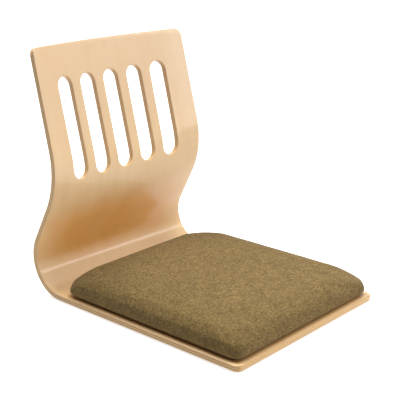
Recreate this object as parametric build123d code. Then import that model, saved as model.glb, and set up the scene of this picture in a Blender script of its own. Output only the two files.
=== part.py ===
from build123d import *
from math import cos, radians, sin
import os

# A legless floor chair. One bent plywood shell is its seat and its back, with a row of slots in the back. A pad with
# a cloth cover lies on the seat, held by hook-and-loop strips, and lifts straight off. Four felt glides carry it.
# Frame: +Z up, the chair faces -Y, the origin is on the floor at the middle of the chair's box. Millimetres.
# Left and right are those of someone who sits in it, so the left side is at +X.

# Shell, seen from the side: lengths and radii of the sitting surface, at the shell's side edges
seat_length = 437.7  # flat, from the front edge to the bend
bend_radius = 62.3
bend_angle = 118.3
lean_length = 76.9  # straight that leans forward
lumbar_radius = 166.5
lumbar_angle = 42.1
back_length = 186.4  # straight, up to the top edge
back_hollow = 38.6  # how much shorter the leaning straight is on the centre line, which hollows the back
hollow_power = 2.3  # 2 hollows the back as a parabola, more keeps its middle flatter

# Shell, seen from the front
seat_width = 400.0
top_width = 386.0
top_crown = 4.2  # rise of the top edge on the centre line
front_corner_radius = 12.0
top_corner_radius = 13.0

# Layers of the shell
veneer_thickness = 0.6
core_ply_thickness = 2.0
core_ply_count = 5

# Slots in the back, with round ends
slot_count = 5
slot_pitch = 61.2
slot_width = 38.4
slot_length = 193.8
slot_drop = 57.3  # from the top edge's ends down to the slots

# Felt glides under the seat
glide_diameter = 30.0
glide_height = 3.0
glide_side_inset = 45.0  # from the seat's side edge to a glide's middle
glide_front_inset = 50.0
glide_back_inset = 25.0  # from the start of the bend to a glide's middle

# Seat pad
pad_side_gap = 5.5  # from the seat's side edge to the pad's widest line
pad_front_gap = 5.5
pad_back_gap = 10.8  # the room that the pad has when it lifts past the back
pad_side_height = 46.1  # from the foot to the top, without the crown
pad_crown = 6.0
pad_shoulder = 27.0  # radius of the top edge
pad_bulge_height = 13.6  # from the foot to the widest line
pad_foot_inset = 8.2  # how far the sides draw in at the foot
pad_foot_corner = 29.0  # corner radii in plan: at the foot, at the widest line and on top
pad_side_corner = 21.0
pad_top_corner = 76.0
cover_thickness = 0.8
wadding_thickness = 4.0
board_thickness = 5.5
lining_thickness = 0.4
lip_width = 6.0  # soft rim under the pad that hides the strips
board_clearance = 2.0  # from the turned-in rim to the board's edge
lining_inset = 8.0  # from the rim to the lining's edge
cover_hem = 22.0  # width of the cloth that is turned under the board
cover_clearance = 0.4  # from the rim down to the seat

# Hook-and-loop strips
strip_width = 25.0
strip_thickness = 1.0
strip_gap = 0.3  # between the hooks and the loops
strip_side_inset = 45.0  # from the lining's side edge to a strip
strip_end_inset = 50.0

# Staples that hold the cloth to the board
staple_crown = 10.0
staple_leg = 4.0  # how deep a leg goes into the board
staple_wire = 0.7
staple_inset = 7.0  # from the lining's edge to the staples
staple_pitch = 60.0

cut_margin = 5.0  # how far a cutting solid stands past what it cuts


def heading(angle):
    """Unit vector (y, z) at an angle from +Y towards +Z."""
    return Vector(0, cos(radians(angle)), sin(radians(angle)))


def towards_sitter(angle):
    """Unit normal of the sitting surface where that surface runs at this angle."""
    return heading(angle + 90)


shell_thickness = 2 * veneer_thickness + core_ply_count * core_ply_thickness
back_angle = bend_angle - lumbar_angle
seat_top = glide_height + shell_thickness
lumbar_start = (
    Vector(0, seat_length, seat_top)
    + bend_radius * (towards_sitter(0) - towards_sitter(bend_angle))
    + lean_length * heading(bend_angle)
)


def hollow_at(share):
    """How hollow the back is at a share of its half width: 1 on the centre line, 0 at the side edges."""
    return 1 - abs(share) ** hollow_power


def lumbar_ends(share):
    """Start and end of the lumbar curve at a share of the half width, with y measured from the front edge."""
    start = lumbar_start - back_hollow * hollow_at(share) * heading(bend_angle)
    end = start + lumbar_radius * (towards_sitter(back_angle) - towards_sitter(bend_angle))
    return start, end


# The back's own plane: local y runs up the back from the ends of the top edge, local z towards the sitter
top_end = lumbar_ends(1)[1] + back_length * heading(back_angle)
blank_rise = top_crown + cut_margin
top_middle = lumbar_ends(0)[1]
top_middle += (top_crown + (top_end - top_middle).dot(heading(back_angle))) * heading(back_angle)
depth_of_bend = seat_length + bend_radius + shell_thickness
depth_of_top = top_middle.Y + shell_thickness * sin(radians(back_angle))
chair_depth = max(depth_of_bend, depth_of_top)
front_y = -chair_depth / 2
bend_y = front_y + seat_length
shift = Vector(0, front_y, 0)
back_plane = Plane(origin=top_end + shift, x_dir=(1, 0, 0), z_dir=towards_sitter(back_angle))
bend_level = (Vector(0, seat_length, seat_top) - top_end).dot(heading(back_angle))

# The nearest that the back comes to the front, which is where the pad passes it
lumbar_front = lumbar_start.Y - lumbar_radius * (1 - sin(radians(bend_angle)))
back_reach = min(seat_length, lumbar_front, top_end.Y)


def layer_edges(share, depth):
    """Edges of the section, front to top, at a share of the half width and a depth below the sitting surface."""
    across = Vector(share * seat_width / 2, 0, 0) + shift

    def point(on_surface, angle):
        return on_surface - depth * towards_sitter(angle) + across

    def turn(start, radius, from_angle, to_angle):
        """Arc that starts on the sitting surface at start; a negative radius turns the other way."""
        middle_angle = (from_angle + to_angle) / 2
        centre = start + radius * towards_sitter(from_angle)
        stops = [
            point(centre - radius * towards_sitter(angle), angle)
            for angle in (from_angle, middle_angle, to_angle)
        ]
        return ThreePointArc(*stops)

    front = Vector(0, 0, seat_top)
    bend_start = front + seat_length * heading(0)
    lean_start = bend_start + bend_radius * (towards_sitter(0) - towards_sitter(bend_angle))
    curve_start, curve_end = lumbar_ends(share)
    rise = blank_rise + (top_end - curve_end).dot(heading(back_angle))
    top = curve_end + rise * heading(back_angle)
    return [
        Line(point(front, 0), point(bend_start, 0)),
        turn(bend_start, bend_radius, 0, bend_angle),
        Line(point(lean_start, bend_angle), point(curve_start, bend_angle)),
        turn(curve_start, -lumbar_radius, bend_angle, back_angle),
        Line(point(curve_end, back_angle), point(top, back_angle)),
    ]


def layer_section(share, near, far):
    """Closed section of one layer between two depths, in the plane at that share of the half width."""
    near_edges = layer_edges(share, near)
    far_edges = layer_edges(share, far)
    ends = [
        Line(near_edges[0] @ 0, far_edges[0] @ 0),
        Line(near_edges[-1] @ 1, far_edges[-1] @ 1),
    ]
    return make_face([*near_edges, *far_edges, *ends])


def back_outline_cutter():
    """What lies outside the back's outline, which narrows to the top and has round corners."""
    sides = [
        Line((-seat_width / 2, bend_level), (-top_width / 2, 0)),
        Line((seat_width / 2, bend_level), (top_width / 2, 0)),
    ]
    foot = Line((-seat_width / 2, bend_level), (seat_width / 2, bend_level))
    crown = ThreePointArc((-top_width / 2, 0), (0, top_crown), (top_width / 2, 0))
    outline = make_face([*sides, foot, crown])
    outline = fillet(outline.vertices().group_by(Axis.Y)[-1], top_corner_radius)
    cut_width = max(seat_width, top_width) + 2 * cut_margin
    cut_height = blank_rise + cut_margin - bend_level
    around = Pos(0, bend_level + cut_height / 2) * Rectangle(cut_width, cut_height)
    return extrude(back_plane * (around - outline), amount=chair_depth, both=True)


def slot_cutters():
    """The slots, cut square to the back."""
    middle = -slot_drop - slot_length / 2
    slot = SlotOverall(slot_length, slot_width, rotation=90)
    return [
        extrude(
            back_plane * (Pos((i - (slot_count - 1) / 2) * slot_pitch, middle) * slot),
            amount=lumbar_radius,
            both=True,
        )
        for i in range(slot_count)
    ]


def front_corner_cutters():
    """What lies outside the two round corners of the seat's front edge."""
    reach = front_corner_radius + cut_margin
    cutters = []
    for side in (-1, 1):
        corner = Rectangle(reach, reach, align=(Align.MIN, Align.MAX))
        corner = Pos(-front_corner_radius, front_corner_radius) * corner
        corner -= Pos(-front_corner_radius, front_corner_radius) * Circle(front_corner_radius)
        if side < 0:
            corner = mirror(corner, about=Plane.YZ)
        placed = Pos(side * seat_width / 2, front_y) * corner
        cutters.append(extrude(placed, amount=seat_top + cut_margin, both=True))
    return cutters


def layer(near, far, cutters):
    """One layer of the shell between two depths below the sitting surface."""
    shares = [i / 4 for i in range(-4, 5)]
    blank = loft([layer_section(share, near, far) for share in shares])
    return blank - cutters


def shell_layers():
    """The veneers and core plies, from the sitting side to the back."""
    cutters = [back_outline_cutter(), *slot_cutters(), *front_corner_cutters()]
    thicknesses = {"face_veneer": veneer_thickness}
    for i in range(core_ply_count):
        thicknesses[f"core_ply_{i + 1}"] = core_ply_thickness
    thicknesses["back_veneer"] = veneer_thickness
    layers = {}
    depth = 0
    for name, thickness in thicknesses.items():
        layers[name] = layer(depth, depth + thickness, cutters)
        depth += thickness
    return layers


def felt_glides():
    """Four round glides under the flat seat."""
    side_x = seat_width / 2 - glide_side_inset
    rows = {"front": front_y + glide_front_inset, "back": bend_y - glide_back_inset}
    glide = extrude(Circle(glide_diameter / 2), amount=glide_height)
    return {
        f"felt_glide_{row}_{side}": Pos(x, y, 0) * glide
        for row, y in rows.items()
        for side, x in (("left", side_x), ("right", -side_x))
    }


# Pad: half sizes at its widest line, and its levels above the seat
pad_half_width = seat_width / 2 - pad_side_gap
pad_length = back_reach - pad_back_gap - pad_front_gap
pad_y = front_y + pad_front_gap + pad_length / 2
foot_level = seat_top + cover_clearance
loop_level = seat_top + strip_thickness + strip_gap
lining_level = loop_level + strip_thickness
hem_level = lining_level + lining_thickness
board_level = hem_level + cover_thickness
rim_inset = pad_foot_inset + lip_width


def pad_outline(inset, corner, level):
    """The pad's outline in plan, drawn in from its widest line, as a face at a level."""
    width = 2 * (pad_half_width - inset)
    length = pad_length - 2 * inset
    outline = RectangleRounded(width, length, min(corner, 0.45 * width, 0.45 * length))
    return Pos(0, pad_y, level) * outline


def pad_slab(inset, low, high):
    """Straight-sided slab with the pad's outline between two levels."""
    corner = pad_side_corner - board_clearance
    return extrude(pad_outline(inset, corner, low), amount=high - low)


def pad_form(skin):
    """The crowned pad with drawn-in sides, smaller by a skin all round.

    The sides go out from the foot to the widest line as a parabola and turn in over the shoulder as a quarter circle.
    The crown is a parabola added over the whole top.
    """
    sections = []
    foot = foot_level + skin
    for share in (1.0, 0.75, 0.5, 0.25, 0.0):
        corner = pad_side_corner + (pad_foot_corner - pad_side_corner) * share - skin
        level = foot + (1 - share) * (pad_bulge_height - skin)
        sections.append(pad_outline(skin + pad_foot_inset * share**2, corner, level))
    radius = pad_shoulder - skin
    top = foot_level + pad_side_height - skin
    for angle in (0, 15, 30, 45, 60, 75, 90):
        turned = radians(angle)
        inset = radius * (1 - cos(turned))
        corner = pad_side_corner + (pad_top_corner - pad_side_corner) * sin(turned) ** 3 - skin
        level = top - radius * (1 - sin(turned)) + crown_at(inset)
        sections.append(pad_outline(skin + inset, corner, level))
    flat = pad_half_width - pad_shoulder
    for share in (0.8, 0.55, 0.3, 0.1):
        inset = pad_shoulder + flat * (1 - share)
        level = top + crown_at(inset)
        sections.append(pad_outline(inset, (pad_top_corner - skin) * share, level))
    return loft(sections, ruled=True)


def crown_at(inset):
    """How far the crown lifts the pad's top at a distance in from its side."""
    return pad_crown * (1 - ((pad_half_width - inset) / pad_half_width) ** 2)


def staples():
    """Wire staples all round the lining, legs up, as one group."""
    low = lining_level - staple_wire
    high = board_level + staple_leg
    half = staple_crown / 2
    wire = staple_wire
    shape = make_face(
        Polyline(
            (-half, low),
            (half, low),
            (half, high),
            (half - wire, high),
            (half - wire, low + wire),
            (-half + wire, low + wire),
            (-half + wire, high),
            (-half, high),
            close=True,
        )
    )
    along_x = extrude(Plane.XZ * shape, amount=wire / 2, both=True)
    along_y = Rot(0, 0, 90) * along_x
    line_x = pad_half_width - rim_inset - lining_inset - staple_inset
    line_y = pad_length / 2 - rim_inset - lining_inset - staple_inset
    count_x = max(2, round(2 * line_x / staple_pitch))
    count_y = max(2, round(2 * line_y / staple_pitch))
    placed = []
    for i in range(count_x):
        x = line_x * ((2 * i + 1) / count_x - 1)
        placed += [Pos(x, pad_y + end * line_y, 0) * along_x for end in (-1, 1)]
    for i in range(count_y):
        y = pad_y + line_y * ((2 * i + 1) / count_y - 1)
        placed += [Pos(side * line_x, y, 0) * along_y for side in (-1, 1)]
    return placed


def strips():
    """Hook strips on the seat and loop strips under the pad, one pair on each side."""
    half_width = pad_half_width - rim_inset - lining_inset
    length = pad_length - 2 * (rim_inset + lining_inset + strip_end_inset)
    x = half_width - strip_side_inset - strip_width / 2
    strip = extrude(Rectangle(strip_width, length), amount=strip_thickness)
    made = {}
    for side, middle in (("left", x), ("right", -x)):
        made[f"hook_strip_{side}"] = Pos(middle, pad_y, seat_top) * strip
        made[f"loop_strip_{side}"] = Pos(middle, pad_y, loop_level) * strip
    return made


def pad_pieces():
    """Board, foam, wadding, cover, lining and staples, each cut to its neighbours."""
    wires = staples()
    skin_out = pad_form(0)
    skin_in = pad_form(cover_thickness)
    foam_form = pad_form(cover_thickness + wadding_thickness)
    below = foot_level - cut_margin
    recess = pad_slab(rim_inset, below, hem_level)
    lined_recess = pad_slab(rim_inset - cover_thickness, below, board_level)
    window = pad_slab(rim_inset + cover_hem, hem_level, board_level)
    board_inset = rim_inset + board_clearance
    board = pad_slab(board_inset, board_level, board_level + board_thickness)
    lining = pad_slab(rim_inset + lining_inset, lining_level, hem_level)
    stuffing = skin_in - lined_recess
    above_board = board_level + board_thickness
    foam = foam_form & pad_slab(0, above_board, above_board + pad_side_height + pad_crown)
    return {
        "pad_cover": skin_out - recess - stuffing - window - wires,
        "pad_wadding": stuffing - board - foam,
        "pad_foam": foam,
        "pad_board": board - wires,
        "pad_lining": lining - wires,
        "pad_staples": Compound(children=[wire.solid() for wire in wires]),
    }


def main():
    os.makedirs("parts", exist_ok=True)
    nodes = {**shell_layers(), **felt_glides(), **strips(), **pad_pieces()}
    for name, shape in nodes.items():
        export_step(shape, f"parts/{name}.step")


main()
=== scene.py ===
"""The finish of a legless floor chair: a bent plywood shell with a slotted back, and a cloth-covered pad.

Metres, +Z up, the chair faces -Y. Each piece is a surface worked out as arrays, and stands for one CAD
node; the pad's board alone keeps the CAD's own shape.
"""
import math

import bmesh
import bpy
import numpy as np
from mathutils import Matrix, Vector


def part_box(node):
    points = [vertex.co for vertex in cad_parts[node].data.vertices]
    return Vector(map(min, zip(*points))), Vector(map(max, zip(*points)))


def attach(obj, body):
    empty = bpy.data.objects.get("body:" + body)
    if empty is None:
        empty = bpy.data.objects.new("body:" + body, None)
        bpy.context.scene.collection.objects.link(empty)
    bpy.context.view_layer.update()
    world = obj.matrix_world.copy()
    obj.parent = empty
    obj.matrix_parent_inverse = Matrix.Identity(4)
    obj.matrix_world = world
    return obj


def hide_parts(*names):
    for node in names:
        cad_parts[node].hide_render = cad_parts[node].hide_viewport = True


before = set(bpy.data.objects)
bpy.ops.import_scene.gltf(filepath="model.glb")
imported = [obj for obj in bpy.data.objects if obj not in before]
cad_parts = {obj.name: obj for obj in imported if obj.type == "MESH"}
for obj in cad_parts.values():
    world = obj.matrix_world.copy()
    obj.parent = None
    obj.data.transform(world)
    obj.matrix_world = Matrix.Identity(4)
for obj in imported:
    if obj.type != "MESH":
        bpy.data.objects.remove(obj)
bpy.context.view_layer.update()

MM = 0.001

# The shell's line, from the front of the seat to the top of the back, and its outline
SEAT_LENGTH = 437.7 * MM
BEND_RADIUS = 62.3 * MM
BEND_ANGLE = math.radians(118.3)
LEAN_LENGTH = 76.9 * MM
LUMBAR_RADIUS = 166.5 * MM
LUMBAR_ANGLE = math.radians(42.1)
BACK_LENGTH = 186.4 * MM
BACK_HOLLOW = 38.6 * MM
HOLLOW_POWER = 2.3
TOP_WIDTH = 386 * MM
TOP_CROWN = 4.2 * MM
FRONT_CORNER = 12 * MM
TOP_CORNER = 13 * MM
SLOTS = 5
SLOT_PITCH = 61.2 * MM
SLOT_WIDTH = 38.4 * MM
SLOT_LENGTH = 193.8 * MM
SLOT_DROP = 57.3 * MM

# The shell's layers and its sanded edges
VENEER = 0.6 * MM
CORE_PLY = 2.0 * MM
CORE_PLIES = 5
SHELL = 2 * VENEER + CORE_PLIES * CORE_PLY
ARRIS = 1.3 * MM  # radius of the sanded edge
ARRIS_STEPS = 6

BACK_ANGLE = BEND_ANGLE - LUMBAR_ANGLE
veneer_low, veneer_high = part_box("face_veneer")
SEAT_WIDTH = veneer_high.x - veneer_low.x
FRONT_Y = veneer_low.y
SEAT_TOP = veneer_low.z + VENEER
BEND_Y = FRONT_Y + SEAT_LENGTH


def heading(angle):
    """Unit vectors (y, z) at angles from +Y towards +Z: cosine and sine."""
    angle = np.asarray(angle, float)
    return np.stack([np.cos(angle), np.sin(angle)], axis=-1)


def towards_sitter(angle):
    """Unit normals (y, z) of the sitting surface where that surface runs at these angles."""
    return heading(np.asarray(angle) + math.pi / 2)


BEND_CENTRE = np.array([BEND_Y, SEAT_TOP + BEND_RADIUS])
LUMBAR_START = BEND_CENTRE - BEND_RADIUS * towards_sitter(BEND_ANGLE) + LEAN_LENGTH * heading(BEND_ANGLE)
UP = heading(BACK_ANGLE)
OUT = towards_sitter(BACK_ANGLE)
TOP_END = LUMBAR_START + LUMBAR_RADIUS * (OUT - towards_sitter(BEND_ANGLE)) + BACK_LENGTH * UP
BEND_LEVEL = float((np.array([BEND_Y, SEAT_TOP]) - TOP_END) @ UP)


# ------------------------------------------------------------------ meshes
def mesh_object(name, points, faces, sharp_angle=None):
    """An object at the origin from an array of points and arrays of faces, shaded smooth up to an angle."""
    mesh = bpy.data.meshes.new(name)
    mesh.from_pydata(points.tolist(), [], [face for group in faces for face in group.tolist()])
    mesh.update()
    mesh.shade_smooth()
    if sharp_angle is not None:
        mesh.set_sharp_from_angle(angle=math.radians(sharp_angle))
    piece = bpy.data.objects.new(name, mesh)
    bpy.context.scene.collection.objects.link(piece)
    return piece


def put_attribute(piece, name, values, domain="POINT"):
    """Stores an array of numbers or of vectors as a named attribute of the mesh."""
    kind = "FLOAT_VECTOR" if values.ndim == 2 else "FLOAT"
    attribute = piece.data.attributes.new(name, kind, domain)
    key = "vector" if values.ndim == 2 else "value"
    attribute.data.foreach_set(key, np.ascontiguousarray(values, np.float32).ravel())


def between_loops(first, second):
    """Quads between two closed loops of vertex numbers."""
    return np.stack([first, second, np.roll(second, -1), np.roll(first, -1)], axis=1)


def grid_quads(numbers):
    """Quads of a grid of vertex numbers, as an array of its own rows and columns."""
    return np.stack([numbers[:-1, :-1], numbers[:-1, 1:], numbers[1:, 1:], numbers[1:, :-1]], axis=-1)


def grid_rim(numbers):
    """The vertex numbers round the outside of a grid, with the grid on the left."""
    return np.concatenate([numbers[0, :-1], numbers[:-1, -1], numbers[-1, :0:-1], numbers[:0:-1, 0]])


def finish_piece(piece, node, body, material):
    """The piece stands for a CAD node, rides on its body and wears a material."""
    piece.data.materials.clear()
    piece.data.materials.append(material)
    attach(piece, body)
    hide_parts(node)


# ------------------------------------------------------------------ plywood shell
CORNER_STEPS, SLOT_STEPS, BAR_STEPS = 8, 18, 6
SEAT_ROWS, BEND_ROWS, LEAN_ROWS, LUMBAR_ROWS, SLOT_ROWS, TOP_ROWS = 36, 40, 10, 12, 34, 10
ROW_STARTS = np.cumsum([0, SEAT_ROWS, BEND_ROWS, LEAN_ROWS, LUMBAR_ROWS, SLOT_ROWS, TOP_ROWS])
CORNER_BAND = max(FRONT_CORNER, TOP_CORNER)
SLOT_MIDDLES = (np.arange(SLOTS) - (SLOTS - 1) / 2) * SLOT_PITCH


def edge_inset(depth):
    """How far the sanded edge is drawn in at a depth: a quarter circle at either face, nothing between."""
    past = max(ARRIS - depth, depth - (SHELL - ARRIS), 0)
    return ARRIS - math.sqrt(max(ARRIS**2 - past**2, 0))


def shell_columns(inset):
    """Place across the flat sheet of each column, and its rise up a slot end's half circle.

    The columns crowd together by a cosine towards each slot's sides and each round corner, so that they cut
    its circle into even steps.
    """
    half = SEAT_WIDTH / 2
    turn = np.sin(np.linspace(0, math.pi / 2, CORNER_STEPS + 1))
    across = -np.cos(np.linspace(0, math.pi, SLOT_STEPS + 1))
    radius = SLOT_WIDTH / 2 + inset
    along_bar = np.linspace(0, 1, BAR_STEPS + 1)[1:-1]
    corner = half - CORNER_BAND + turn * (CORNER_BAND - inset)
    x, rise = [-corner[::-1]], [np.zeros(CORNER_STEPS + 1)]
    last = -half + CORNER_BAND
    for middle in SLOT_MIDDLES:
        x += [last + along_bar * (middle - radius - last), middle + radius * across]
        rise += [np.zeros(BAR_STEPS - 1), radius * np.sqrt(1 - np.minimum(across**2, 1))]
        last = middle + radius
    x += [last + along_bar * (half - CORNER_BAND - last), corner]
    rise += [np.zeros(BAR_STEPS - 1), np.zeros(CORNER_STEPS + 1)]
    return np.concatenate(x), np.concatenate(rise)


SLOT_COLUMNS = [CORNER_STEPS + BAR_STEPS + i * (SLOT_STEPS + BAR_STEPS) for i in range(SLOTS)]


def corner_drop(across, half, radius, inset):
    """How far a round corner draws the sheet's end in: the reach of its circle less the circle's height."""
    reach = radius - inset
    past = np.clip(np.abs(across) - (half - radius), 0, reach)
    return reach - np.sqrt(np.maximum(reach**2 - past**2, 0))


def half_width_at(level):
    """Half the sheet's width at a level up the back's plane; it narrows evenly from the bend up."""
    return SEAT_WIDTH / 2 - (SEAT_WIDTH - TOP_WIDTH) / 2 * np.clip(1 - level / BEND_LEVEL, 0, None)


def top_edge_level(across):
    """Level of the top edge, an arc through its two ends and its crown."""
    half = TOP_WIDTH / 2
    arc = (half**2 + TOP_CROWN**2) / (2 * TOP_CROWN)
    return np.sqrt(arc**2 - np.minimum(np.abs(across), half) ** 2) - (arc - TOP_CROWN)


def shell_surface(depth, inset):
    """Points (rows, columns, 3) at a depth below the sitting surface, their places on the flat sheet, and
    their levels up the back's plane.

    The line from front to top is a straight, an arc, a leaning straight, an arc the other way and a
    straight. The hollow, one less the share of the half width to a power, shortens the leaning straight.
    Depth is along the line's normal. From the lumbar curve up, a point is placed by its level up the back's
    plane, so the slots and the outline are cut square to the back. The places across are worked out twice,
    because the width narrows with the level and the level hangs on the hollow.
    """
    x, rise = shell_columns(inset)
    outer = SLOT_MIDDLES[-1] + SLOT_WIDTH / 2
    taper = np.sign(x) * np.clip((np.abs(x) - outer) / (SEAT_WIDTH / 2 - outer), 0, 1)
    across = np.tile(x, (ROW_STARTS[-1] + 1, 1))
    for _ in range(2):
        at, run, level = shell_line(across, rise, depth, inset)
        above_seat = np.arange(len(at)) >= ROW_STARTS[1]
        narrowing = np.where(above_seat[:, None], half_width_at(level) - SEAT_WIDTH / 2, 0)
        across = x + taper * narrowing
    points = np.concatenate([across[..., None], at], axis=-1)
    flat = np.stack([across, run, np.full_like(run, -depth)], axis=-1)
    return points, flat, level


def shell_line(across, rise, depth, inset):
    """Places (y, z), run along the sheet and level up the back's plane, for each row and column."""
    half = SEAT_WIDTH / 2
    shortening = BACK_HOLLOW * (1 - np.minimum(np.abs(across) / half, 1) ** HOLLOW_POWER)
    at = np.zeros((*across.shape, 2))
    run = np.zeros(across.shape)

    def rows(i):
        here = slice(ROW_STARTS[i], ROW_STARTS[i + 1] + 1)
        return here, np.linspace(0, 1, ROW_STARTS[i + 1] - ROW_STARTS[i] + 1)[:, None]

    here, t = rows(0)
    start = inset + corner_drop(across[here], half, FRONT_CORNER, inset)
    run[here] = start + t * (SEAT_LENGTH - start)
    at[here, :, 0] = FRONT_Y + run[here]
    at[here, :, 1] = SEAT_TOP - depth

    here, t = rows(1)
    at[here] = BEND_CENTRE - (BEND_RADIUS + depth) * towards_sitter(t * BEND_ANGLE)
    run[here] = SEAT_LENGTH + t * BEND_ANGLE * BEND_RADIUS
    bend_run = SEAT_LENGTH + BEND_ANGLE * BEND_RADIUS

    here, t = rows(2)
    length = LEAN_LENGTH - shortening[here]
    foot = BEND_CENTRE - (BEND_RADIUS + depth) * towards_sitter(BEND_ANGLE)
    at[here] = foot + (t * length)[..., None] * heading(BEND_ANGLE)
    run[here] = bend_run + t * length

    top_across = across[-1]
    head = top_edge_level(top_across) - inset
    head -= corner_drop(top_across, half_width_at(0), TOP_CORNER, inset)
    radius = LUMBAR_RADIUS - depth
    slot_foot = SLOT_WIDTH / 2 - SLOT_DROP - SLOT_LENGTH - rise
    slot_head = -SLOT_WIDTH / 2 - SLOT_DROP + rise
    for i in (3, 4, 5):
        here, t = rows(i)
        start = LUMBAR_START - shortening[here][..., None] * heading(BEND_ANGLE)
        centre = start - LUMBAR_RADIUS * towards_sitter(BEND_ANGLE)
        end_level = (centre + LUMBAR_RADIUS * OUT - TOP_END) @ UP
        curve_foot = end_level - radius * math.sin(LUMBAR_ANGLE)
        ends = [curve_foot, slot_foot, slot_head, head]
        level = ends[i - 3] + t * (ends[i - 2] - ends[i - 3])
        turned = np.arcsin(np.clip((end_level - level) / radius, 0, 1))
        on_arc = centre + radius * towards_sitter(BACK_ANGLE + turned)
        past = np.maximum(level - end_level, 0)
        at[here] = on_arc + past[..., None] * UP
        along_arc = (LUMBAR_ANGLE - turned) * LUMBAR_RADIUS
        run[here] = bend_run + LEAN_LENGTH - shortening[here] + along_arc + past
    return at, run, (at - TOP_END) @ UP


def edge_distance(flat, level):
    """Distance from each point to the nearest edge of the sheet: a side, the front, the top or a slot.

    A slot's edge is half its width away from the straight between the middles of its round ends.
    """
    across, run = np.abs(flat[..., 0]), flat[..., 1]
    nearest = np.minimum(half_width_at(level) - across, run)
    nearest = np.minimum(nearest, np.abs(top_edge_level(across) - level))
    slot_middle = -SLOT_DROP - SLOT_LENGTH / 2
    past_end = np.maximum(np.abs(level - slot_middle) - (SLOT_LENGTH - SLOT_WIDTH) / 2, 0)
    for middle in SLOT_MIDDLES:
        to_slot = np.hypot(flat[..., 0] - middle, past_end) - SLOT_WIDTH / 2
        nearest = np.minimum(nearest, np.abs(to_slot))
    return nearest


def sheet_quads(numbers):
    """Quads of one face of the sheet, with the slots left out."""
    quads = grid_quads(numbers)
    keep = np.ones(quads.shape[:2], bool)
    for start in SLOT_COLUMNS:
        keep[ROW_STARTS[4] : ROW_STARTS[5], start : start + SLOT_STEPS] = False
    return quads[keep]


def sheet_loops(numbers):
    """Vertex numbers round the outline and round each slot, with the sheet on the left."""
    loops = [grid_rim(numbers)]
    low, high = ROW_STARTS[4], ROW_STARTS[5]
    for start in SLOT_COLUMNS:
        stop = start + SLOT_STEPS
        sides = [numbers[low:high, start], numbers[high, start:stop]]
        sides += [numbers[high:low:-1, stop], numbers[low, stop:start:-1]]
        loops.append(np.concatenate(sides))
    return loops


def ply(name, near, far, material):
    """One layer of the shell as a closed mesh: both its faces, and walls that follow the sanded edge."""
    steps = [near, far]
    for i in range(1, ARRIS_STEPS + 1):
        below = ARRIS * (1 - math.cos(math.radians(90 * i / ARRIS_STEPS)))
        steps += [below, SHELL - below]
    depths = sorted({round(d, 7) for d in steps if near <= d <= far})
    surfaces = [shell_surface(depth, edge_inset(depth)) for depth in depths]
    one = surfaces[0][0].shape[0] * surfaces[0][0].shape[1]
    numbers = np.arange(one).reshape(surfaces[0][0].shape[:2])
    loops = sheet_loops(numbers)
    ring = np.concatenate(loops)
    stops = np.cumsum([0] + [len(loop) for loop in loops])
    points, flats, levels, chains = [], [], [], []
    count = 0
    for i, (place, flat, level) in enumerate(surfaces):
        whole = i in (0, len(surfaces) - 1)
        chosen = np.arange(one) if whole else ring
        points.append(place.reshape(-1, 3)[chosen])
        flats.append(flat.reshape(-1, 3)[chosen])
        levels.append(level.ravel()[chosen])
        spans = loops if whole else [np.arange(*span) for span in zip(stops, stops[1:])]
        chains.append([span + count for span in spans])
        count += len(chosen)
    walls = [between_loops(a, b) for upper, lower in zip(chains, chains[1:]) for a, b in zip(upper, lower)]
    faces = [sheet_quads(numbers), sheet_quads(numbers)[:, ::-1] + count - one, *walls]
    flat, level = np.concatenate(flats), np.concatenate(levels)
    piece = mesh_object(f"{name}_sheet", np.concatenate(points), faces, sharp_angle=40)
    put_attribute(piece, "flat", flat)
    quad = flat[np.concatenate(faces)]
    normal = np.cross(quad[:, 2] - quad[:, 0], quad[:, 3] - quad[:, 1])
    normal /= np.maximum(np.linalg.norm(normal, axis=1, keepdims=True), 1e-12)
    put_attribute(piece, "flat_normal", np.abs(normal), domain="FACE")
    put_attribute(piece, "edge_distance", edge_distance(flat, level))
    finish_piece(piece, name, "shell", material)


def build_shell(finishes):
    """Both veneers and the core plies, from the sitting side back; every second core ply runs across."""
    ply("face_veneer", 0, VENEER, finishes["veneer"])
    for i in range(CORE_PLIES):
        near = VENEER + i * CORE_PLY
        slot = "cross_ply" if i % 2 else "long_ply"
        ply(f"core_ply_{i + 1}", near, near + CORE_PLY, finishes[slot])
    ply("back_veneer", SHELL - VENEER, SHELL, finishes["veneer"])


# ------------------------------------------------------------------ seat pad
PAD_SIDE_HEIGHT = 46.1 * MM
PAD_CROWN = 6 * MM
PAD_SHOULDER = 20 * MM
PAD_BULGE = 12.5 * MM  # height of the widest place above the foot
PAD_FOOT_INSET = 8.2 * MM
PAD_FOOT_CORNER, PAD_SIDE_CORNER, PAD_TOP_CORNER = 15 * MM, 19 * MM, 72 * MM
CORNER_POWER = 1.6
CORNER_FALL = 4 * MM  # how much lower the pad is at its corners
FALL_POWER = 4  # the higher, the nearer to the corners the fall sets in

# The cover's roll under the foot: its first ring is further out and up, its second further in
ROLL_OUT, ROLL_UP, ROLL_IN = 0.6 * MM, 0.5 * MM, 1 * MM
LIP_WIDTH = 6 * MM
COVER_HEM, HEM_START = 22 * MM, 0.03  # the hem's width, and the share of it that rises to the lining
COVER_SLACK = 0.8 * MM
SWELL_PRESSURE, SWELL_FRAMES, SWELL_CAP = 4.0, 20, 3 * MM
TOP_RINGS, SHOULDER_RINGS, SIDE_RINGS, FOOT_RINGS, HEM_RINGS = 34, 9, 2, 4, 2
FREE_RINGS = TOP_RINGS + 7  # the last ring of the cover that swells; the sides below it stay drawn down
STUFFING_TUCK = 2 * MM

cover_low, cover_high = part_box("pad_cover")
PAD_HALF_WIDTH = (cover_high.x - cover_low.x) / 2
PAD_HALF_LENGTH = (cover_high.y - cover_low.y) / 2
PAD_Y = (cover_high.y + cover_low.y) / 2
PAD_FOOT = cover_low.z
HEM_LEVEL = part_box("pad_lining")[1].z


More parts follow.
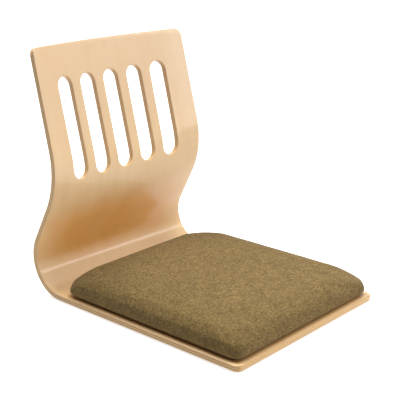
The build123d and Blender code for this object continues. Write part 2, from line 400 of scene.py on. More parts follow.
def crown_at(inset):
    """How far the crown lifts the top at a distance in from the side: a parabola over the half width."""
    return PAD_CROWN * (1 - ((PAD_HALF_WIDTH - inset) / PAD_HALF_WIDTH) ** 2)


def pad_profile(skin):
    """Inset, level and corner radius of the pad's rings from the rim of its crowned top down to its foot.

    The shoulder is a quarter circle, then a short upright, then a parabola that draws the side in to the
    foot. The corner's radius grows with a power of the share of the height above the widest place.
    """
    top = PAD_FOOT + PAD_SIDE_HEIGHT - skin
    bulge = PAD_FOOT + PAD_BULGE

    def corner_at(height):
        share = np.clip((height - bulge) / (top - bulge), 0, 1)
        return PAD_SIDE_CORNER - skin + (PAD_TOP_CORNER - PAD_SIDE_CORNER) * share**CORNER_POWER

    turned = np.linspace(math.pi / 2, 0, SHOULDER_RINGS + 1)
    radius = PAD_SHOULDER - skin
    over = radius * (1 - np.cos(turned))
    inset = [skin + over]
    height = top - radius * (1 - np.sin(turned))
    level = [height + crown_at(over)]
    corner = [corner_at(height)]
    upright = np.linspace(level[0][-1], bulge, SIDE_RINGS + 1)[1:]
    inset.append(np.full(SIDE_RINGS, skin))
    level.append(upright)
    corner.append(corner_at(upright))
    share = np.linspace(0, 1, FOOT_RINGS + 2)[1:-1]
    inset.append(skin + PAD_FOOT_INSET * share**2)
    level.append(bulge - share * (PAD_BULGE - skin))
    corner.append(PAD_SIDE_CORNER - skin + (PAD_FOOT_CORNER - PAD_SIDE_CORNER) * share)
    return [np.concatenate(part) for part in (inset, level, corner)]


def pad_rings(skin, under):
    """Half width, half length, corner radius and level of every ring, from the middle of the top outwards.

    The top's rings are even shares of the profile's first ring, lifted by the crown. under lists the rings
    past the foot as pairs of inset and level.
    """
    inset, level, corner = pad_profile(skin)
    share = np.linspace(0, 1, TOP_RINGS + 1)[:-1]
    edge = PAD_HALF_WIDTH - inset[0]
    top_level = level[0] - crown_at(inset[0] - skin)
    half_width = [share * edge, PAD_HALF_WIDTH - inset]
    half_length = [share * (PAD_HALF_LENGTH - inset[0]), PAD_HALF_LENGTH - inset]
    levels = [top_level + crown_at(PAD_HALF_WIDTH - share * edge), level]
    corners = [share * corner[0], corner]
    for extra, at in under:
        half_width.append([PAD_HALF_WIDTH - extra])
        half_length.append([PAD_HALF_LENGTH - extra])
        levels.append([at])
        corners.append([PAD_FOOT_CORNER])
    return [np.concatenate(part) for part in (half_width, half_length, corners, levels)]


def ring_grid(half_width, half_length, corner, level):
    """Points of nested rounded rectangles on a square grid, and the outward direction of each in plan.

    Ring k of the square grid runs round rectangle k. A place on a side of the ring goes to the same share
    of the rectangle's side, counted along its straight and half of each corner's arc.
    """
    steps = len(level) - 1
    i, j = np.meshgrid(np.arange(-steps, steps + 1), np.arange(-steps, steps + 1))
    ring = np.maximum(np.abs(i), np.abs(j))
    on_x = np.abs(i) >= np.abs(j)
    share = np.where(on_x, j, i) / np.maximum(ring, 1)
    side = np.sign(np.where(on_x, i, j))
    width, length, radius = half_width[ring], half_length[ring], corner[ring]
    straight = np.where(on_x, length, width) - radius
    reach = np.where(on_x, width, length)
    run = np.abs(share) * (straight + radius * math.pi / 4)
    turned = np.maximum(run - straight, 0) / np.maximum(radius, 1e-9)
    along = np.sign(share) * (np.minimum(run, straight) + radius * np.sin(turned))
    out = side * (reach - radius * (1 - np.cos(turned)))
    x, y = np.where(on_x, out, along), np.where(on_x, along, out)
    points = np.stack([x, PAD_Y + y, level[ring]], axis=-1)
    facing = [side * np.cos(turned), np.sign(share) * np.sin(turned)]
    outward = np.stack([np.where(on_x, *facing), np.where(on_x, *facing[::-1])], axis=-1)
    return points, outward, ring


def pad_shape(name, skin, under):
    """The ring grid as a mesh, open underneath, and the number of each vertex's ring.

    Its height above the foot is less towards the corners: the fall is the product of its shares of the half
    width and of the half length, to a power, and of its share of the side's height.
    """
    points, outward, ring = ring_grid(*pad_rings(skin, under))
    share_x, share_y = points[..., 0] / PAD_HALF_WIDTH, (points[..., 1] - PAD_Y) / PAD_HALF_LENGTH
    towards_corner = np.abs(share_x) * np.abs(share_y)
    raised = np.clip((points[..., 2] - PAD_FOOT) / PAD_SIDE_HEIGHT, 0, 1)
    points[..., 2] -= CORNER_FALL * towards_corner**FALL_POWER * raised
    numbers = np.arange(ring.size).reshape(ring.shape)
    piece = mesh_object(name, points.reshape(-1, 3), [grid_quads(numbers).reshape(-1, 4)])
    put_attribute(piece, "outward", outward.reshape(-1, 2) @ np.eye(2, 3))
    return piece, ring.ravel()


def rounded_and_closed(piece):
    """One subdivision, applied, and then a flat face over the opening underneath."""
    rounding = piece.modifiers.new("rounding", "SUBSURF")
    rounding.levels = rounding.render_levels = 1
    whole = piece.evaluated_get(bpy.context.evaluated_depsgraph_get())
    form = bmesh.new()
    form.from_mesh(bpy.data.meshes.new_from_object(whole))
    piece.modifiers.remove(rounding)
    bmesh.ops.holes_fill(form, edges=[edge for edge in form.edges if edge.is_boundary])
    form.to_mesh(piece.data)
    form.free()


def mesh_points(mesh):
    """The vertices as an array."""
    points = np.empty(len(mesh.vertices) * 3)
    mesh.vertices.foreach_get("co", points)
    return points.reshape(-1, 3)


def inflate(piece, held, pressure, frames, cap):
    """Weightless cloth under pressure from inside, with some points held, written back to the mesh.

    A point's move d is eased to cap times tanh(d / cap), so no part swells past the cap.
    """
    start = mesh_points(piece.data)
    piece.vertex_groups.new(name="held").add(held.tolist(), 1.0, "REPLACE")
    cloth = piece.modifiers.new("swell", "CLOTH")
    cloth.settings.vertex_group_mass = "held"
    cloth.settings.quality = 6
    cloth.settings.use_pressure = True
    cloth.settings.uniform_pressure_force = pressure
    cloth.settings.effector_weights.gravity = 0
    cloth.collision_settings.use_collision = False
    cloth.point_cache.frame_start, cloth.point_cache.frame_end = 1, frames
    scene = bpy.context.scene
    for step in range(1, frames + 1):
        scene.frame_set(step)
    swollen = piece.evaluated_get(bpy.context.evaluated_depsgraph_get())
    move = mesh_points(swollen.data) - start
    piece.modifiers.remove(cloth)
    piece.vertex_groups.clear()
    scene.frame_set(1)
    length = np.maximum(np.linalg.norm(move, axis=1, keepdims=True), 1e-9)
    moved = start + move / length * cap * np.tanh(length / cap)
    piece.data.vertices.foreach_set("co", moved.ravel())
    piece.data.update()


def cloth_places(piece):
    """Stores where each point lies on the flat cloth: its place in plan, moved outwards by its drop."""
    points = mesh_points(piece.data)
    outward = np.empty(len(points) * 3)
    piece.data.attributes["outward"].data.foreach_get("vector", outward)
    outward = outward.reshape(-1, 3)
    drop = np.maximum(points[:, 2].max() - points[:, 2:3], 0)
    put_attribute(piece, "cloth", np.column_stack([points[:, :2] + outward[:, :2] * drop, points[:, 2]]))


def build_cover(finishes):
    """The cloth cover: over the foam, round the foot, under the soft rim and in under the board."""
    rim = PAD_FOOT_INSET + LIP_WIDTH
    roll = [(PAD_FOOT_INSET - ROLL_OUT, PAD_FOOT + ROLL_UP), (PAD_FOOT_INSET + ROLL_IN, PAD_FOOT)]
    hem = [(rim + share * COVER_HEM, HEM_LEVEL) for share in np.linspace(HEM_START, 1, HEM_RINGS + 1)]
    piece, ring = pad_shape("pad_cover_cloth", COVER_SLACK, [*roll, (rim, PAD_FOOT), *hem])
    inflate(piece, np.flatnonzero(ring > FREE_RINGS), SWELL_PRESSURE, SWELL_FRAMES, SWELL_CAP)
    rounded_and_closed(piece)
    cloth_places(piece)
    finish_piece(piece, "pad_cover", "seat_pad", finishes["pad_cloth"])


def build_stuffing(finishes):
    """The wadding over the foam block, each a little inside what wraps it.

    Each row has how far the piece is inside the cover, how far in its foot is drawn, and how far its
    underside is above the CAD node's.
    """
    for name, node, slot, skin, inset, lift in (
        ("pad_wadding_fill", "pad_wadding", "wadding", 6 * MM, 19 * MM, 4 * MM),
        ("pad_foam_block", "pad_foam", "foam", 11 * MM, 24 * MM, 1 * MM),
    ):
        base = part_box(node)[0].z + lift
        piece, _ = pad_shape(name, skin, [(inset, PAD_FOOT + skin), (inset + STUFFING_TUCK, base)])
        rounded_and_closed(piece)
        finish_piece(piece, node, "seat_pad", finishes[slot])


# ------------------------------------------------------------------ small pieces
BEND_POINTS = 5  # points on each quarter circle of a glide's rim and of a staple's bend
GLIDE_STEPS = 48
GLIDE_ROUND = 0.8 * MM
GLIDE_MIDDLE = 0.55  # share of the radius that the plain face over each end covers
TUFT_PITCH = 1.6 * MM
TUFT_STEPS = 4
TAPE_GROUND = 0.55  # share of the tape's thickness that is woven ground
SELVEDGE, SELVEDGE_HEIGHT = 1.5 * MM, 0.3  # width, and share of the ground's height at the very edge
LINING_CORNER = 19 * MM
LINING_RINGS = 40
LINING_CLOTH, LINING_PUCKER = 0.45, 0.5  # shares of the lining's thickness: its cloth, and its puckers
PUCKER_RINGS = 7  # how far in the puckers reach
STAPLE_INSET = 7 * MM
STAPLE_PITCH = 60 * MM
STAPLE_CROWN = 10 * MM
STAPLE_WIRE = 0.7 * MM
STAPLE_BEND = 0.9 * MM
STAPLE_LEG = 2.4 * MM
WIRE_STEPS = 8


def tube_faces(loops, points_round):
    """Quads of a closed profile carried through a number of loops, and a face over each end.

    They face outwards where the profile runs clockwise, seen along the path.
    """
    numbers = np.arange(loops * points_round).reshape(loops, points_round)
    walls = [between_loops(a, b) for a, b in zip(numbers, numbers[1:])]
    return [np.concatenate(walls), numbers[:1], numbers[-1:, ::-1]]


def build_glides(finishes):
    """Felt glides: a profile, whose rim is two quarter circles and a straight, turned about the middle."""
    for row in ("front", "back"):
        for side in ("left", "right"):
            name = f"felt_glide_{row}_{side}"
            low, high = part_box(name)
            radius = (high.x - low.x) / 2
            turned = np.linspace(0, math.pi / 2, BEND_POINTS)
            rim = radius - GLIDE_ROUND * (1 - np.sin(turned))
            rise = GLIDE_ROUND * (1 - np.cos(turned))
            middle = GLIDE_MIDDLE * radius
            reach = np.concatenate([[middle], rim, rim[::-1], [middle]])
            level = np.concatenate([[high.z], high.z - rise, low.z + rise[::-1], [low.z]])
            round_by = np.linspace(0, 2 * math.pi, GLIDE_STEPS, endpoint=False)
            x = (low.x + high.x) / 2 + reach[:, None] * np.cos(round_by)
            y = (low.y + high.y) / 2 + reach[:, None] * np.sin(round_by)
            points = np.stack([x, y, np.broadcast_to(level[:, None], x.shape)], axis=-1).reshape(-1, 3)
            piece = mesh_object(f"{name}_felt", points, tube_faces(len(reach), GLIDE_STEPS))
            finish_piece(piece, name, "shell", finishes["felt"])


def build_tapes(finishes):
    """Hook tapes on the seat and loop tapes under the pad.

    A closed profile is carried along the tape. Its face stands up from the woven ground in rows of small
    tufts: the product of a squared sine across and one along, offset by half a pitch in every second row,
    and none at the selvedges.
    """
    for side in ("left", "right"):
        for kind, body, facing in (("hook", "shell", 1), ("loop", "seat_pad", -1)):
            name = f"{kind}_strip_{side}"
            low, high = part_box(name)
            across = np.linspace(low.x, high.x, 1 + TUFT_STEPS * round((high.x - low.x) / TUFT_PITCH))
            along = np.linspace(low.y, high.y, 1 + TUFT_STEPS * round((high.y - low.y) / TUFT_PITCH))
            inside = np.clip((across - low.x) / SELVEDGE, 0, 1)
            inside = inside * np.clip((high.x - across) / SELVEDGE, 0, 1)
            row = np.floor((along - low.y) / TUFT_PITCH)[:, None]
            tufts = np.sin(math.pi * ((across - low.x) / TUFT_PITCH + row / 2)) ** 2
            tufts = tufts * np.sin(math.pi * (along - low.y)[:, None] / TUFT_PITCH) ** 2 * (inside >= 1)
            ground = TAPE_GROUND * (SELVEDGE_HEIGHT + (1 - SELVEDGE_HEIGHT) * np.sqrt(inside))
            height = (high.z - low.z) * (ground + (1 - TAPE_GROUND) * tufts)
            back = low.z if facing > 0 else high.z
            x, y = np.meshgrid(across, along)
            face = np.stack([x, y, back + facing * height], axis=-1)
            rear = face[:, [-1, 0]] * (1, 1, 0) + (0, 0, back)
            loops = np.concatenate([face, rear], axis=1)[:, ::-facing]
            faces = tube_faces(loops.shape[0], loops.shape[1])
            piece = mesh_object(f"{kind}_tape_{side}", loops.reshape(-1, 3), faces)
            finish_piece(piece, name, body, finishes[f"{kind}_tape"])


def build_lining(finishes):
    """The lining stretched over the turned-in cloth: nested rounded rectangles, two faces a cloth apart.

    Near its edge it puckers by a product of cosines along X and Y at the staples' pitch.
    """
    low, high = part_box("pad_lining")
    half_width, half_length, thickness = (high.x - low.x) / 2, (high.y - low.y) / 2, high.z - low.z
    share = np.linspace(0, 1, LINING_RINGS + 1)
    under, _, ring = ring_grid(share * half_width, share * half_length, share * LINING_CORNER,
                               np.full(len(share), low.z))
    waves = np.prod(np.cos(2 * math.pi * under[..., :2] / STAPLE_PITCH), axis=-1)
    near_edge = np.clip((ring - LINING_RINGS + PUCKER_RINGS) / PUCKER_RINGS, 0, 1)
    under[..., 2] += thickness * LINING_PUCKER * (0.5 + 0.5 * waves) * near_edge
    over = under + (0, 0, thickness * LINING_CLOTH)
    numbers = np.arange(ring.size).reshape(ring.shape)
    quads = grid_quads(numbers).reshape(-1, 4)
    rim = grid_rim(numbers)
    faces = [quads[:, ::-1], quads + ring.size, between_loops(rim, rim + ring.size)[:, ::-1]]
    points = np.concatenate([under.reshape(-1, 3), over.reshape(-1, 3)])
    piece = mesh_object("pad_lining_cloth", points, faces, sharp_angle=50)
    finish_piece(piece, "pad_lining", "seat_pad", finishes["lining_cloth"])


def staple_points():
    """Points (loops, points round, 3) of one staple's round wire along X: leg, bend, crown, bend and leg.

    The wire's middle line is two quarter circles and the straights between them; its section is a circle
    square to that line.
    """
    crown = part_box("pad_staples")[0].z + STAPLE_WIRE / 2
    half = (STAPLE_CROWN - STAPLE_WIRE) / 2
    turned = np.linspace(0, math.pi / 2, BEND_POINTS)
    bend_x = -half + STAPLE_BEND * (1 - np.sin(turned[::-1]))
    bend_z = crown + STAPLE_BEND * (1 - np.cos(turned[::-1]))
    line_x = np.concatenate([[-half], bend_x, -bend_x[::-1], [half]])
    line_z = np.concatenate([[crown + STAPLE_LEG], bend_z, bend_z[::-1], [crown + STAPLE_LEG]])
    heading_at = np.concatenate([[-math.pi / 2], turned - math.pi / 2, turned, [math.pi / 2]])
    round_by = np.linspace(0, 2 * math.pi, WIRE_STEPS, endpoint=False)
    out = STAPLE_WIRE / 2 * np.cos(round_by)
    x = line_x[:, None] - np.sin(heading_at)[:, None] * out
    z = line_z[:, None] + np.cos(heading_at)[:, None] * out
    y = np.broadcast_to(STAPLE_WIRE / 2 * np.sin(round_by), x.shape)
    return np.stack([x, y, z], axis=-1)


def build_staples(finishes):
    """Wire staples round the lining, as one piece: one staple's points, turned and moved to every place."""
    low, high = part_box("pad_lining")
    reach_x, reach_y = (high.x - low.x) / 2 - STAPLE_INSET, (high.y - low.y) / 2 - STAPLE_INSET
    count_x, count_y = round(2 * reach_x / STAPLE_PITCH), round(2 * reach_y / STAPLE_PITCH)
    spots_x = reach_x * ((2 * np.arange(count_x) + 1) / count_x - 1)
    spots_y = reach_y * ((2 * np.arange(count_y) + 1) / count_y - 1)
    along_x = staple_points()
    along_y = np.stack([-along_x[..., 1], along_x[..., 0], along_x[..., 2]], axis=-1)
    placed = [along_x + (x, PAD_Y + end * reach_y, 0) for x in spots_x for end in (-1, 1)]
    placed += [along_y + (end * reach_x, PAD_Y + y, 0) for y in spots_y for end in (-1, 1)]
    loops, points_round = along_x.shape[:2]
    one = tube_faces(loops, points_round)
    step = loops * points_round
    faces = [group + i * step for i in range(len(placed)) for group in one]
    points = np.concatenate(placed).reshape(-1, 3)
    piece = mesh_object("pad_staple_wires", points, faces)
    finish_piece(piece, "pad_staples", "seat_pad", finishes["staple_wire"])


def dress_board(finishes):
    """The board keeps its own shape and gets its own finish."""
    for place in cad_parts["pad_board"].material_slots:
        place.material = finishes["board"]


# ------------------------------------------------------------------ node helpers
def colour(red, green, blue):
    """Linear colour from the 0 to 255 values that a screen shows, by the usual curve of screens."""
    shown = np.array([red, green, blue]) / 255
    linear = np.where(shown <= 0.04045, shown / 12.92, ((shown + 0.055) / 1.055) ** 2.4)
    return (*(float(c) for c in linear), 1.0)


def node(tree, kind, inputs=None, **settings):
    """A new node with its settings, its inputs set to values or linked to sockets."""
    made = tree.nodes.new(kind)
    for name, value in settings.items():
        setattr(made, name, value)
    for key, value in (inputs or {}).items():
        if isinstance(value, bpy.types.NodeSocket):
            tree.links.new(value, made.inputs[key])
        else:
            made.inputs[key].default_value = value
    return made


def calc(tree, operation, *values):
    """One step of arithmetic."""
    return node(tree, "ShaderNodeMath", dict(enumerate(values)), operation=operation).outputs[0]


def vector_calc(tree, operation, vector, by):
    """One step of arithmetic on a vector; SCALE takes a number, the others take a second vector."""
    inputs = {0: vector, 3 if operation == "SCALE" else 1: by}
    return node(tree, "ShaderNodeVectorMath", inputs, operation=operation).outputs[0]


def scaled(tree, vector, x, y, z):
    """A vector stretched along its axes."""
    return vector_calc(tree, "MULTIPLY", vector, (x, y, z))


def mix(tree, share, low, high):
    """A blend of two colours."""
    return node(tree, "ShaderNodeMix", {0: share, 6: low, 7: high}, data_type="RGBA").outputs[2]


def mix_numbers(tree, share, low, high):
    """A blend of two numbers."""
    return node(tree, "ShaderNodeMix", {0: share, 2: low, 3: high}, data_type="FLOAT").outputs[0]


def parts(tree, vector):
    """The X, Y and Z of a vector."""
    return node(tree, "ShaderNodeSeparateXYZ", {0: vector}).outputs


def turn_about(tree, vector, angles):
    """A vector turned about X, Y and Z by three angles."""
    return node(tree, "ShaderNodeMapping", {"Vector": vector, "Rotation": angles}).outputs[0]


def own_place(tree):
    """The place on the object, which sits at the origin."""
    return node(tree, "ShaderNodeTexCoord").outputs["Object"]


def noise(tree, vector, scale=1.0, detail=2.0, roughness=0.5):
    """Smooth noise from 0 to 1 about a half."""
    inputs = {"Vector": vector, "Scale": scale, "Detail": detail, "Roughness": roughness}
    return node(tree, "ShaderNodeTexNoise", inputs).outputs[0]


def spread(tree, value, low, high, to_low=0.0, to_high=1.0):
    """A value taken from one range to another by a smooth step."""
    inputs = {0: value, 1: low, 2: high, 3: to_low, 4: to_high}
    return node(tree, "ShaderNodeMapRange", inputs, interpolation_type="SMOOTHSTEP").outputs[0]


def attribute(tree, name, output="Vector"):
    """A named attribute of the mesh."""
    return node(tree, "ShaderNodeAttribute", attribute_name=name).outputs[output]


def effect_group(name, inputs, outputs):
    """An empty node group with named sockets; returns its tree and its inner ends."""
    tree = bpy.data.node_groups.new(name, "ShaderNodeTree")
    for socket, kind, default in inputs:
        made = tree.interface.new_socket(socket, in_out="INPUT", socket_type=kind)
        made.default_value = default
    for socket, kind in outputs:
        tree.interface.new_socket(socket, in_out="OUTPUT", socket_type=kind)
    return tree, tree.nodes.new("NodeGroupInput").outputs, tree.nodes.new("NodeGroupOutput").inputs


def use_group(tree, group, inputs):
    """A group placed in a material with its own values; returns its outputs."""
    return node(tree, "ShaderNodeGroup", inputs, node_tree=group).outputs


def new_material(name):
    """A material with an empty tree."""
    made = bpy.data.materials.new(name)
    made.use_nodes = True
    made.node_tree.nodes.clear()
    return made, made.node_tree


def surface(tree, base, roughness, height, bump, **constants):
    """The material's shader with a bump, and its constants on its own sockets; bump is in metres."""
    relief = node(tree, "ShaderNodeBump", {"Height": height, "Strength": 1.0, "Distance": bump})
    inputs = {"Base Color": base, "Roughness": roughness, "Normal": relief.outputs[0]}
    inputs.update({key.replace("_", " "): value for key, value in constants.items()})
    shader = node(tree, "ShaderNodeBsdfPrincipled", inputs)
    node(tree, "ShaderNodeOutputMaterial", {"Surface": shader.outputs[0]})


VECTOR, FLOAT, COLOUR = "NodeSocketVector", "NodeSocketFloat", "NodeSocketColor"


# ------------------------------------------------------------------ effects
# Rates of the wood's noises, in changes a metre across the grain and along it
DRIFT, PATCHES, BANDS, GROWTH_LINES = (4, 1.6), (26, 13), (30, 0.8), (230, 4)
FIBRES, FLECKS, PORES, RUBBED_SPOTS = (1800, 20), (2300, 210), (2600, 60), (190, 60)
GRAIN_STRAYS = 0.05  # metres from side to side, for the whole range of the drift's noise
PATCH_SHARE, BAND_SHARE, LINE_SHARE, FIBRE_SHARE = 0.45, 0.25, 0.18, 0.12  # of the figure's tone
FLECK_SHARE, SOAKED_SHARE, RUBBED_SHARE = 0.45, 0.16, 0.3  # how strongly each tints the wood
WOOD_ROUGH, LINES_ROUGH, ENDS_ROUGH = 0.35, 0.12, 0.2  # of the lacquer, and what lines and end grain add
GLUE_CORE, GLUE_SPREAD = 0.05 * MM, 0.14 * MM  # half width of a glue line, without and with its blur
GLUE_DEPTH = 0.7  # how far it covers the wood's colour

# The part of a noise's range over which an effect comes in
WIDE, SOFT, FIRM = (0.25, 0.75), (0.3, 0.7), (0.35, 0.65)
FLECK_RANGE, PORE_RANGE, RUBBED_RANGE = (0.66, 0.76), (0.35, 0.7), (0.56, 0.72)
PORE_SHADE, HONEY_AND_SHADE_LEAST = 0.86, 0.85  # of the end grain at a pore, and of the honey tone and painted shade between its patches
FIBRE_RELIEF, FLECK_RELIEF = 0.7, -0.6


def grain(tree, place, rates, detail, roughness=0.5):
    """Noise drawn out along the grain, Y, by its rates across the grain and along it."""
    across, along = rates
    return noise(tree, scaled(tree, place, across, along, across), detail=detail, roughness=roughness)


def wood_figure_group():
    """Sliced wood: patches, slow bands, growth lines, fibres and flecks, drawn out along Y, the grain.

    The tone of the figure is a weighted sum of noises at their own rates. Where its share of tint and shade
    is high the wood takes a deeper honey colour, which stands partly for the wood's own honey tone and
    partly for painted shade and painted shadow. End grain has its own colour, darkened by pores seen end
    on. Along the edges the lacquer soaks in and small spots are rubbed.
    """
    tree, given, made = effect_group(
        "wood_figure",
        [("Place", VECTOR, (0, 0, 0)), ("End Grain", FLOAT, 0), ("Edge", FLOAT, 0), ("Tint And Shade", FLOAT, 0),
         ("Base", COLOUR, (1, 1, 1, 1)), ("Figure", COLOUR, (1, 1, 1, 1)),
         ("End Colour", COLOUR, (1, 1, 1, 1)), ("Tint And Shade Colour", COLOUR, (1, 1, 1, 1)), ("Contrast", FLOAT, 1)],
        [("Color", COLOUR), ("Roughness", FLOAT), ("Height", FLOAT)],
    )
    place = given["Place"]
    stray = calc(tree, "MULTIPLY", calc(tree, "SUBTRACT", grain(tree, place, DRIFT, 1), 0.5), GRAIN_STRAYS)
    offset = node(tree, "ShaderNodeCombineXYZ", {"X": stray}).outputs[0]
    warped = vector_calc(tree, "ADD", place, offset)
    patches = grain(tree, warped, PATCHES, 4, roughness=0.6)
    bands = grain(tree, warped, BANDS, 2)
    lines = grain(tree, warped, GROWTH_LINES, 3)
    fibres = grain(tree, warped, FIBRES, 2)
    flecks = spread(tree, grain(tree, warped, FLECKS, 1), *FLECK_RANGE)
    tone = calc(tree, "MULTIPLY", spread(tree, patches, *SOFT), PATCH_SHARE)
    tone = calc(tree, "MULTIPLY_ADD", spread(tree, bands, *SOFT), BAND_SHARE, tone)
    tone = calc(tree, "MULTIPLY_ADD", spread(tree, lines, *SOFT), LINE_SHARE, tone)
    tone = calc(tree, "MULTIPLY_ADD", spread(tree, fibres, *WIDE), FIBRE_SHARE, tone)
    figured = mix(tree, calc(tree, "MULTIPLY", tone, given["Contrast"]), given["Base"], given["Figure"])
    fleck_share = calc(tree, "MULTIPLY", calc(tree, "MULTIPLY", flecks, given["Contrast"]), FLECK_SHARE)
    figured = mix(tree, fleck_share, figured, given["Figure"])
    # the deeper colour is honey tone in part and painted shade in part
    tint_and_shade = calc(tree, "MULTIPLY", given["Tint And Shade"], spread(tree, patches, *WIDE, HONEY_AND_SHADE_LEAST, 1.0))
    figured = mix(tree, tint_and_shade, figured, given["Tint And Shade Colour"])
    pores = spread(tree, grain(tree, place, PORES, 2), *PORE_RANGE, 1.0, PORE_SHADE)
    end = vector_calc(tree, "SCALE", given["End Colour"], pores)
    ended = mix(tree, given["End Grain"], figured, end)
    soaked = mix(tree, calc(tree, "MULTIPLY", given["Edge"], SOAKED_SHARE), ended, given["End Colour"])
    rubbed = spread(tree, grain(tree, place, RUBBED_SPOTS, 3), *RUBBED_RANGE)
    rubbed = calc(tree, "MULTIPLY", calc(tree, "MULTIPLY", rubbed, given["Edge"]), RUBBED_SHARE)
    tree.links.new(mix(tree, rubbed, soaked, given["Base"]), made["Color"])
    rough = calc(tree, "MULTIPLY_ADD", lines, LINES_ROUGH, WOOD_ROUGH)
    tree.links.new(calc(tree, "MULTIPLY_ADD", given["End Grain"], ENDS_ROUGH, rough), made["Roughness"])
    relief = calc(tree, "MULTIPLY_ADD", fibres, FIBRE_RELIEF, calc(tree, "MULTIPLY", flecks, FLECK_RELIEF))
    tree.links.new(relief, made["Height"])
    return tree


def glue_line_group():
    """Dark glue lines, where the depth below the face veneer is near a whole number of plies."""
    tree, given, made = effect_group(
        "glue_lines",
        [("Depth", FLOAT, 0), ("Color", COLOUR, (1, 1, 1, 1)), ("Glue", COLOUR, (0, 0, 0, 1))],
        [("Color", COLOUR)],
    )
    plies = calc(tree, "DIVIDE", calc(tree, "SUBTRACT", given["Depth"], VENEER), CORE_PLY)
    off = calc(tree, "MULTIPLY", calc(tree, "PINGPONG", plies, 0.5), CORE_PLY)
    line = spread(tree, off, GLUE_CORE, GLUE_SPREAD, GLUE_DEPTH, 0.0)
    tree.links.new(mix(tree, line, given["Color"], given["Glue"]), made["Color"])
    return tree


YARN_WOBBLE, WOBBLE_RATE = 0.5 * MM, 160.0
YARN_APART, YARN_DRAWN = 7.31, 0.22  # changes of a yarn's noise for each pitch, across the yarns and along
MOTTLE_RATE, CLOUD_RATE, FUZZ_RATE = 230.0, 55.0, 2600.0  # in changes a metre
UNDER_DIP, FUZZ_HEIGHT = 0.5, 0.5  # shares of a yarn's height: its dip where it goes under, and its fuzz
MIDDLE_FROM, MIDDLE_FULL, LIGHT_FULL = 0.38, 0.5, 0.62  # of a yarn's tone, from dark over middle to light
GAP_DEEP, GAP_NONE, GAP_SHADE = 0.35, 0.8, 0.62  # heights of the weave between which the painted shade in its gaps fades, and its darkest share
CLOUD_DARK, CLOUD_LIGHT = 0.88, 1.08
CLOTH_ROUGH, CLOTH_SMOOTHER = 0.95, 0.1  # roughness of dark yarn, and how much less light yarn has
WARP_SEED, WEFT_SEED = 3.1, 8.7


def woven_cloth_group():
    """Plain weave of mottled yarn: warp and weft take turns on top like a chequerboard.

    Across a yarn the height is a sine, along it the yarn dips where it goes under. Each yarn's tone is
    noise that is drawn out along it, a coarser mottle of spun fibres goes over both, and slow clouds of
    lighter and darker cloth over that. Pitch is from yarn to yarn.
    """
    tree, given, made = effect_group(
        "woven_cloth",
        [("Place", VECTOR, (0, 0, 0)), ("Pitch", FLOAT, 0.001), ("Dark", COLOUR, (0, 0, 0, 1)),
         ("Middle", COLOUR, (0.5, 0.5, 0.5, 1)), ("Light", COLOUR, (1, 1, 1, 1)), ("Mottle", FLOAT, 0.5)],
        [("Color", COLOUR), ("Roughness", FLOAT), ("Height", FLOAT)],
    )
    place = given["Place"]
    wobble = node(tree, "ShaderNodeTexNoise", {"Vector": place, "Scale": WOBBLE_RATE, "Detail": 1.0})
    wobble = vector_calc(tree, "SUBTRACT", wobble.outputs["Color"], (0.5, 0.5, 0.5))
    place = vector_calc(tree, "ADD", place, scaled(tree, wobble, YARN_WOBBLE, YARN_WOBBLE, 0))
    counted = vector_calc(tree, "SCALE", place, calc(tree, "DIVIDE", 1.0, given["Pitch"]))
    part = parts(tree, counted)
    column, row = calc(tree, "FLOOR", part["X"]), calc(tree, "FLOOR", part["Y"])
    turn = calc(tree, "FLOORED_MODULO", calc(tree, "ADD", column, row), 2.0)
    turn = calc(tree, "MULTIPLY_ADD", turn, 2.0, -1.0)
    ridges = []
    for axis in "XY":
        half_turn = calc(tree, "MULTIPLY", calc(tree, "FRACT", part[axis]), math.pi)
        ridges.append(calc(tree, "SINE", half_turn))
    warp = calc(tree, "MULTIPLY_ADD", calc(tree, "MULTIPLY", turn, ridges[1]), UNDER_DIP, ridges[0])
    weft = calc(tree, "MULTIPLY_ADD", calc(tree, "MULTIPLY", turn, ridges[0]), -UNDER_DIP, ridges[1])
    on_top = calc(tree, "GREATER_THAN", warp, weft)
    tones = []
    for number, along, seed in ((column, part["Y"], WARP_SEED), (row, part["X"], WEFT_SEED)):
        yarn = node(tree, "ShaderNodeCombineXYZ", {
            "X": calc(tree, "MULTIPLY", number, YARN_APART), "Y": calc(tree, "MULTIPLY", along, YARN_DRAWN),
            "Z": seed,
        }).outputs[0]
        tones.append(noise(tree, yarn, detail=3, roughness=0.7))
    tone = mix_numbers(tree, on_top, tones[1], tones[0])
    tone = mix_numbers(tree, given["Mottle"], tone, noise(tree, place, scale=MOTTLE_RATE))
    low = mix(tree, spread(tree, tone, MIDDLE_FROM, MIDDLE_FULL), given["Dark"], given["Middle"])
    shade = mix(tree, spread(tree, tone, MIDDLE_FULL, LIGHT_FULL), low, given["Light"])
    height = calc(tree, "MAXIMUM", warp, weft)
    # painted shade in the gaps between the yarns
    gap_shade = spread(tree, height, GAP_DEEP, GAP_NONE, GAP_SHADE, 1.0)
    clouds = spread(tree, noise(tree, place, scale=CLOUD_RATE, detail=3), *SOFT, CLOUD_DARK, CLOUD_LIGHT)
    tree.links.new(vector_calc(tree, "SCALE", shade, calc(tree, "MULTIPLY", gap_shade, clouds)), made["Color"])
    tree.links.new(calc(tree, "MULTIPLY_ADD", tone, -CLOTH_SMOOTHER, CLOTH_ROUGH), made["Roughness"])
    fuzz = noise(tree, place, scale=FUZZ_RATE)
    tree.links.new(calc(tree, "MULTIPLY_ADD", fuzz, FUZZ_HEIGHT, height), made["Height"])
    return tree


FIBRE_TURNS = (0.3, 1.4, 2.5)  # the directions the fibres lie in, in radians
FIBRE_TILT = (0.2, 0.1)  # about X and Y, so that no direction lies flat
FIBRE_DRAWN, CLOUD_DRAWN = 0.12, 0.08  # rates along a fibre and of the clouds, for one across a fibre
FIBRE_RANGE = (0.45, 0.75)
FIBRE_ROUGH, FIBRE_SMOOTHER = 0.95, 0.12  # roughness of dark fibre, and how much less light fibre has


